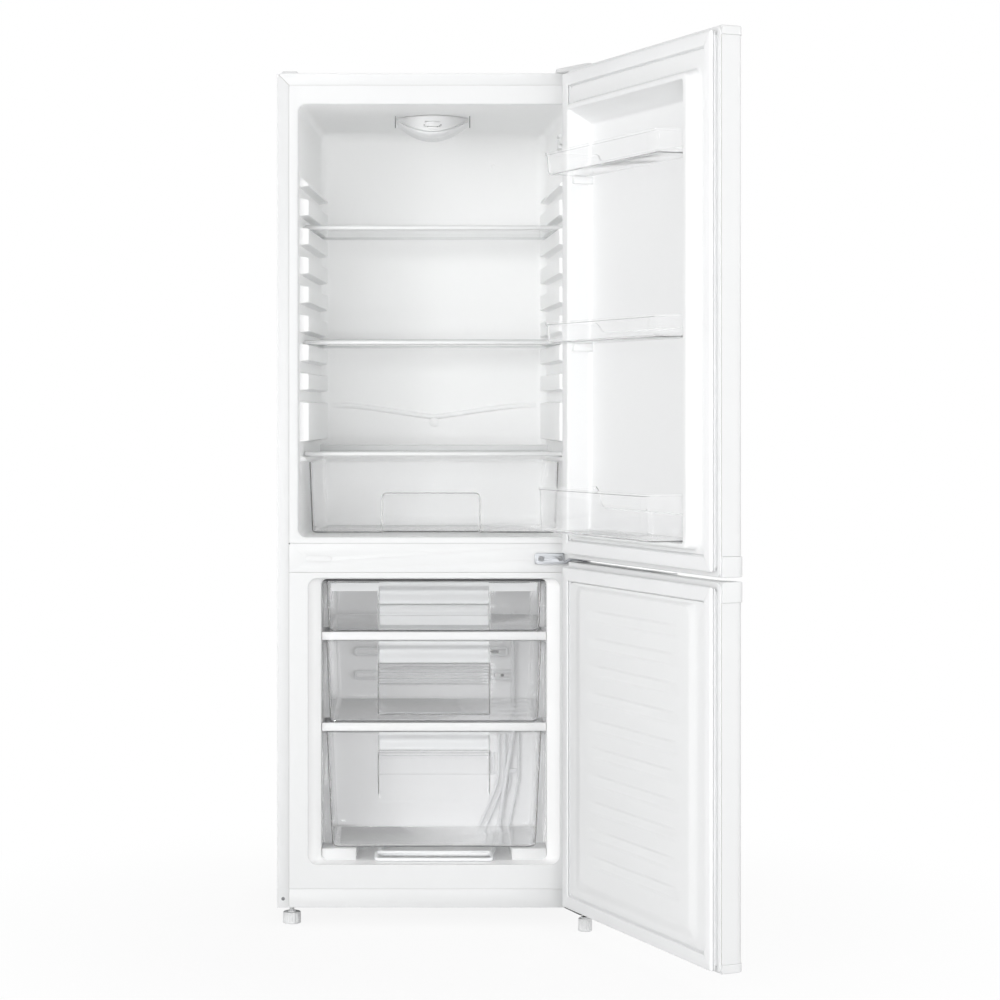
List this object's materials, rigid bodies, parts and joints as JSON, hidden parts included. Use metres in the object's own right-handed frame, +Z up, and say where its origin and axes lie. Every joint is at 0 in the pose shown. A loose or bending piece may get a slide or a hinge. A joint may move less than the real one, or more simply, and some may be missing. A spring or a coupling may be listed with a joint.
{
  "type": "bottom freezer refrigerator",
  "caption": "Free-standing white refrigerator over a freezer, doors hinged on the right and open, with glass shelves, clear drawers and lift-off door bins.",
  "frame": {"origin": "middle of the footprint of the whole assembly with both doors open as pictured, on the floor", "axes": "+Z up, +Y from the door side towards the back, +X to the right as seen from the front, towards the hinges"},
  "size_m": [0.7424, 1.0572, 1.491],
  "materials": {
    "white_steel": "satin",
    "white_plastic": "satin",
    "lining": "gloss",
    "seal": "matte",
    "clear_plastic": "gloss",
    "shelf_glass": "polished",
    "foam": "matte",
    "zinc": "satin",
    "white_tube": "satin",
    "black_enamel": "satin",
    "dark_plastic": "matte",
    "grey_plastic": "matte"
  },
  "bodies": {
    "cabinet": {"outer_shell": "white_steel", "cabinet_foam": "foam", "fridge_liner": "lining", "freezer_liner": "lining", "base_pan": "zinc", "back_panel": "white_steel", "lower_cross_member": "white_steel", "middle_cross_member": "white_steel", "hinge_hole_plug": "white_plastic", "top_corner_cap": "white_plastic", "top_hinge_bracket": "zinc", "top_hinge_cover": "white_plastic", "middle_hinge_bracket": "zinc", "middle_hinge_screw_left": "zinc", "middle_hinge_screw_right": "zinc", "bottom_hinge_bracket": "black_enamel", "compressor_plate": "zinc", "compressor": "black_enamel", "evaporation_tray": "dark_plastic", "drain_tube": "grey_plastic", "condenser": "black_enamel", "evaporator_upper": "white_tube", "evaporator_rail_upper": "white_plastic", "evaporator_lower": "white_tube", "evaporator_rail_lower": "white_plastic", "evaporator_floor_loop": "white_tube", "control_housing": "white_plastic", "lamp_lens": "clear_plastic", "lamp_bulb": "shelf_glass"},
    "upper_door": {"upper_door_skin": "white_steel", "upper_door_foam": "foam", "upper_door_bottom_cap": "white_plastic", "upper_door_top_cap": "white_plastic", "upper_door_gasket": "seal", "upper_door_liner": "lining"},
    "lower_door": {"lower_door_skin": "white_steel", "lower_door_foam": "foam", "lower_door_bottom_cap": "white_plastic", "lower_door_top_cap": "white_plastic", "lower_door_gasket": "seal", "lower_door_liner": "lining"},
    "bin_top": {"door_bin_top": "clear_plastic"},
    "bin_middle": {"door_bin_middle": "clear_plastic"},
    "bin_bottom": {"door_bin_bottom": "clear_plastic"},
    "shelf_upper": {"glass_shelf_upper": "shelf_glass", "glass_shelf_upper_frame": "white_plastic"},
    "shelf_lower": {"glass_shelf_lower": "shelf_glass", "glass_shelf_lower_frame": "white_plastic"},
    "cover_shelf": {"crisper_cover": "shelf_glass", "crisper_cover_frame": "white_plastic"},
    "crisper": {"crisper_drawer": "clear_plastic"},
    "freezer_upper": {"freezer_drawer_upper": "clear_plastic"},
    "freezer_middle": {"freezer_drawer_middle": "clear_plastic"},
    "freezer_lower": {"freezer_drawer_lower": "clear_plastic"},
    "dial": {"thermostat_dial": "white_plastic"},
    "switch_button": {"light_switch_button": "white_plastic"},
    "foot_left": {"front_foot_left": "white_plastic"},
    "foot_right": {"front_foot_right": "white_plastic"},
    "roller_left": {"rear_roller_left": "dark_plastic"},
    "roller_right": {"rear_roller_right": "dark_plastic"}
  },
  "joints": [
    {"name": "upper_door_hinge", "type": "hinge", "parent": "cabinet", "child": "upper_door", "pos_m": [0.16129, -0.02377, 1.06], "axis": [0, 0, 1], "range_deg": [-112, 23]},
    {"name": "lower_door_hinge", "type": "hinge", "parent": "cabinet", "child": "lower_door", "pos_m": [0.16129, -0.02377, 0.336], "axis": [0, 0, 1], "range_deg": [-112, 23]},
    {"name": "top_bin_lift", "type": "slide", "parent": "upper_door", "child": "bin_top", "axis": [0, 0, 1], "range_m": [0, 0.03]},
    {"name": "middle_bin_lift", "type": "slide", "parent": "upper_door", "child": "bin_middle", "axis": [0, 0, 1], "range_m": [0, 0.03]},
    {"name": "bottom_bin_lift", "type": "slide", "parent": "upper_door", "child": "bin_bottom", "axis": [0, 0, 1], "range_m": [0, 0.03]},
    {"name": "upper_shelf_slide", "type": "slide", "parent": "cabinet", "child": "shelf_upper", "axis": [0, -1, 0], "range_m": [0, 0.127]},
    {"name": "lower_shelf_slide", "type": "slide", "parent": "cabinet", "child": "shelf_lower", "axis": [0, -1, 0], "range_m": [0, 0.127]},
    {"name": "crisper_cover_slide", "type": "slide", "parent": "cabinet", "child": "cover_shelf", "axis": [0, -1, 0], "range_m": [0, 0.127]},
    {"name": "crisper_slide", "type": "slide", "parent": "cabinet", "child": "crisper", "axis": [0, -1, 0], "range_m": [0, 0.13]},
    {"name": "freezer_upper_slide", "type": "slide", "parent": "cabinet", "child": "freezer_upper", "axis": [0, -1, 0], "range_m": [0, 0.26]},
    {"name": "freezer_middle_slide", "type": "slide", "parent": "cabinet", "child": "freezer_middle", "axis": [0, -1, 0], "range_m": [0, 0.26]},
    {"name": "freezer_lower_slide", "type": "slide", "parent": "cabinet", "child": "freezer_lower", "axis": [0, -1, 0], "range_m": [0, 0.18]},
    {"name": "thermostat_turn", "type": "hinge", "parent": "cabinet", "child": "dial", "pos_m": [-0.10131, 0.17403, 1.408], "axis": [0, 0, 1], "range_deg": [0, 270]},
    {"name": "light_switch_travel", "type": "slide", "parent": "cabinet", "child": "switch_button", "axis": [0, 1, 0], "range_m": [-0.0012, 0.0056]},
    {"name": "left_foot_turn", "type": "hinge", "parent": "cabinet", "child": "foot_left", "pos_m": [-0.3467, 0.04323, 0.011], "axis": [0, 0, 1], "continuous": true},
    {"name": "right_foot_turn", "type": "hinge", "parent": "cabinet", "child": "foot_right", "pos_m": [0.16129, -0.02377, 0.012], "axis": [0, 0, 1], "continuous": true},
    {"name": "left_roller_spin", "type": "hinge", "parent": "cabinet", "child": "roller_left", "pos_m": [-0.30371, 0.48023, 0.019], "axis": [1, 0, 0], "continuous": true},
    {"name": "right_roller_spin", "type": "hinge", "parent": "cabinet", "child": "roller_right", "pos_m": [0.1063, 0.48023, 0.019], "axis": [1, 0, 0], "continuous": true}
  ],
  "couplings": [
    {"joint": "light_switch_travel", "follows": "upper_door_hinge", "m_per_rad": -0.0028}
  ]
}
